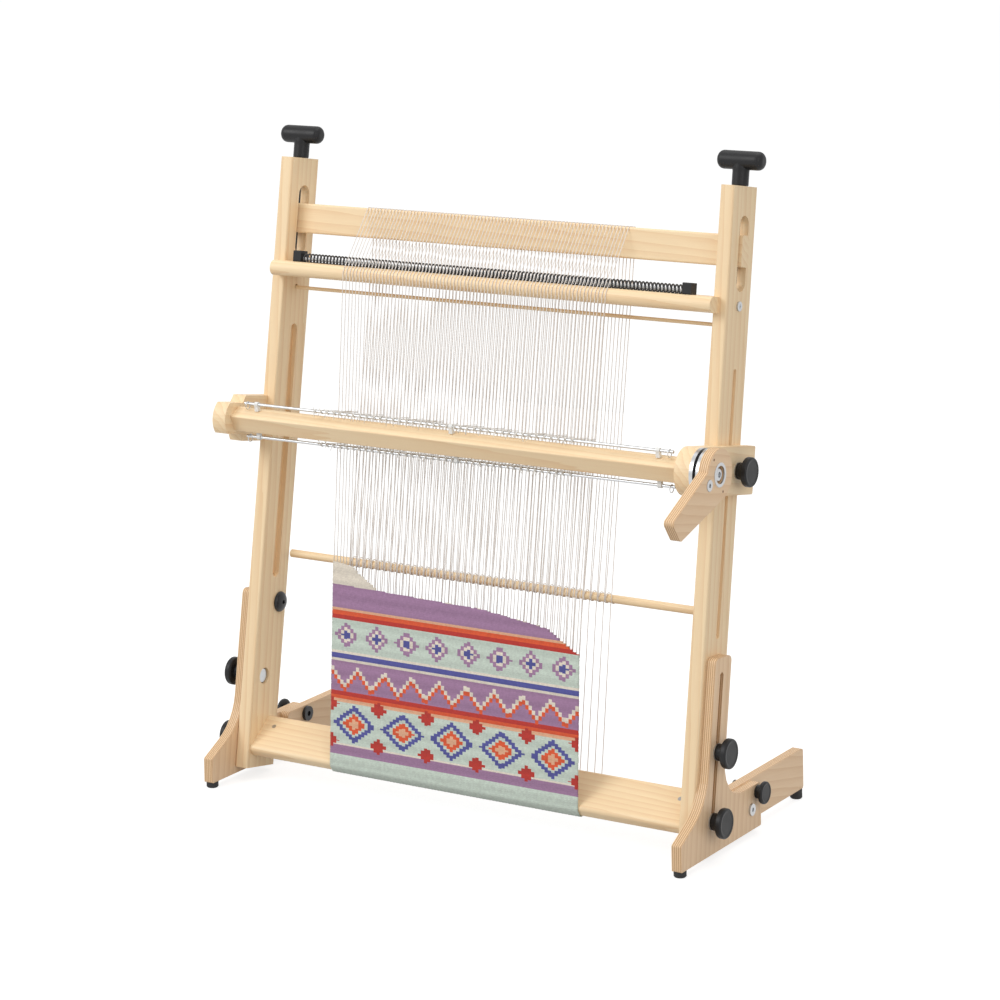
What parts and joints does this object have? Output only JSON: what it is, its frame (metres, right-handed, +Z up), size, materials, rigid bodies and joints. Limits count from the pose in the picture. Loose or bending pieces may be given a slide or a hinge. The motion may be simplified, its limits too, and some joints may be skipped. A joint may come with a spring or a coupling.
{
  "type": "tapestry loom",
  "caption": "Leaning upright tapestry loom with a screw-tensioned top beam, warp spacing spring, clamped shedding bar with a lever, and folding rear legs.",
  "frame": {"origin": "middle of the whole box, at the height of the feet's undersides", "axes": "+X to the weaver's right, +Y away from the weaver, +Z up"},
  "size_m": [0.858, 0.4686, 0.969],
  "materials": {
    "maple": "clear oiled maple, satin",
    "plywood": "clear lacquered birch plywood, satin",
    "black_plastic": "moulded, fine texture",
    "black_steel": "black oxide, satin",
    "rubber": "matt",
    "zinc_steel": "zinc plated, satin",
    "white_plastic": "smooth",
    "brass": "dark, satin",
    "warp_yarn": "twisted cotton yarn",
    "tapestry_wool": "dense wool weave"
  },
  "bodies": {
    "stand": {"front_leg_left": "plywood", "front_leg_right": "plywood", "front_feet": "rubber", "rear_pivot_screws": "zinc_steel", "rear_clamp_bolts": "black_steel"},
    "rear_leg_left": {"rear_leg_left": "plywood", "rear_foot_left": "rubber"},
    "rear_leg_right": {"rear_leg_right": "plywood", "rear_foot_right": "rubber"},
    "rear_knob_left": {"rear_knob_left": "black_plastic"},
    "rear_knob_right": {"rear_knob_right": "black_plastic"},
    "frame": {"upright_left": "maple", "upright_right": "maple", "front_beam": "maple", "front_beam_screws": "zinc_steel", "thin_dowel": "maple", "spring": "black_steel", "spring_rod": "white_plastic", "spring_blocks": "black_plastic", "bottom_beam": "maple", "barrel_nuts": "zinc_steel", "bottom_beam_screws": "zinc_steel", "dome_bolts": "black_steel", "leg_bolts": "zinc_steel", "leg_washers": "zinc_steel", "warp_front": "warp_yarn", "warp_back_upper": "warp_yarn", "warp_back_lower": "warp_yarn", "tapestry": "tapestry_wool"},
    "leg_knob_upper_left": {"leg_knob_upper_left": "black_plastic"},
    "leg_knob_upper_right": {"leg_knob_upper_right": "black_plastic"},
    "leg_knob_lower_left": {"leg_knob_lower_left": "black_plastic"},
    "leg_knob_lower_right": {"leg_knob_lower_right": "black_plastic"},
    "tension_screw_left": {"tension_handle_left": "black_plastic", "tension_rod_left": "black_steel"},
    "tension_screw_right": {"tension_handle_right": "black_plastic", "tension_rod_right": "black_steel"},
    "top_beam": {"top_beam": "maple"},
    "carriage": {"bracket_left": "maple", "bracket_right": "maple", "bracket_bolts": "zinc_steel", "bracket_washers": "zinc_steel", "friction_disc_fixed": "zinc_steel", "friction_ring": "black_plastic", "heddles": "warp_yarn"},
    "bracket_knob_left": {"bracket_knob_left": "black_plastic"},
    "bracket_knob_right": {"bracket_knob_right": "black_plastic"},
    "shedder": {"shedder_bar": "maple", "shedder_handle": "plywood", "friction_disc_turning": "zinc_steel", "pivot_bolt": "zinc_steel", "pivot_pin_left": "zinc_steel", "pivot_washer": "zinc_steel", "handle_bolt": "zinc_steel", "handle_pins": "brass", "heddle_rods": "zinc_steel", "rod_ties": "white_plastic", "rod_rings": "zinc_steel"},
    "warping_bar": {"warping_bar": "maple"}
  },
  "joints": [
    {"name": "frame_height", "type": "slide", "parent": "stand", "child": "frame", "axis": [0, 0.1702, 0.9854], "range_m": [0, 0.104]},
    {"name": "top_beam_travel", "type": "slide", "parent": "frame", "child": "top_beam", "axis": [0, 0.1702, 0.9854], "range_m": [-0.028, 0.021], "deforming": ["warp_front", "warp_back_upper"]},
    {"name": "warping_bar_travel", "type": "slide", "parent": "frame", "child": "warping_bar", "axis": [0, 0.1702, 0.9854], "range_m": [-0.12, 0.12], "deforming": ["warp_back_upper", "warp_back_lower"]},
    {"name": "carriage_height", "type": "slide", "parent": "frame", "child": "carriage", "axis": [0, 0.1702, 0.9854], "range_m": [-0.215, 0.135], "deforming": ["heddles"]},
    {"name": "shed_turn", "type": "hinge", "parent": "carriage", "child": "shedder", "pos_m": [-0.00355, -0.09956, 0.54773], "axis": [1, 0, 0], "range_deg": [-40, 40], "deforming": ["heddles"]},
    {"name": "tension_turn_left", "type": "hinge", "parent": "frame", "child": "tension_screw_left", "pos_m": [-0.37955, 0.07256, 0.88029], "axis": [0, 0.1702, 0.9854], "range_deg": [-6048, 8064]},
    {"name": "tension_turn_right", "type": "hinge", "parent": "frame", "child": "tension_screw_right", "pos_m": [0.37245, 0.07256, 0.88029], "axis": [0, 0.1702, 0.9854], "range_deg": [-6048, 8064]},
    {"name": "rear_leg_swing_left", "type": "hinge", "parent": "stand", "child": "rear_leg_left", "pos_m": [-0.38305, 0.03733, 0.039], "axis": [1, 0, 0], "range_deg": [-8, 8]},
    {"name": "rear_knob_turn_left", "type": "hinge", "parent": "stand", "child": "rear_knob_left", "pos_m": [-0.41355, 0.05533, 0.06], "axis": [1, 0, 0], "continuous": true},
    {"name": "leg_knob_upper_turn_left", "type": "hinge", "parent": "frame", "child": "leg_knob_upper_left", "pos_m": [-0.41755, -0.06344, 0.14877], "axis": [1, 0, 0], "continuous": true},
    {"name": "leg_knob_lower_turn_left", "type": "hinge", "parent": "frame", "child": "leg_knob_lower_left", "pos_m": [-0.41755, -0.08025, 0.05511], "axis": [1, 0, 0], "continuous": true},
    {"name": "bracket_knob_turn_left", "type": "hinge", "parent": "carriage", "child": "bracket_knob_left", "pos_m": [-0.41755, 0.01179, 0.5285], "axis": [1, 0, 0], "continuous": true},
    {"name": "rear_leg_swing_right", "type": "hinge", "parent": "stand", "child": "rear_leg_right", "pos_m": [0.37595, 0.03733, 0.039], "axis": [1, 0, 0], "range_deg": [-8, 8]},
    {"name": "rear_knob_turn_right", "type": "hinge", "parent": "stand", "child": "rear_knob_right", "pos_m": [0.40645, 0.05533, 0.06], "axis": [1, 0, 0], "continuous": true},
    {"name": "leg_knob_upper_turn_right", "type": "hinge", "parent": "frame", "child": "leg_knob_upper_right", "pos_m": [0.41045, -0.06344, 0.14877], "axis": [1, 0, 0], "continuous": true},
    {"name": "leg_knob_lower_turn_right", "type": "hinge", "parent": "frame", "child": "leg_knob_lower_right", "pos_m": [0.41045, -0.08025, 0.05511], "axis": [1, 0, 0], "continuous": true},
    {"name": "bracket_knob_turn_right", "type": "hinge", "parent": "carriage", "child": "bracket_knob_right", "pos_m": [0.41045, 0.01179, 0.5285], "axis": [1, 0, 0], "continuous": true}
  ],
  "couplings": [
    {"joint": "tension_turn_left", "follows": "top_beam_travel", "rad_per_m": -5026.5},
    {"joint": "tension_turn_right", "follows": "top_beam_travel", "rad_per_m": -5026.5}
  ]
}
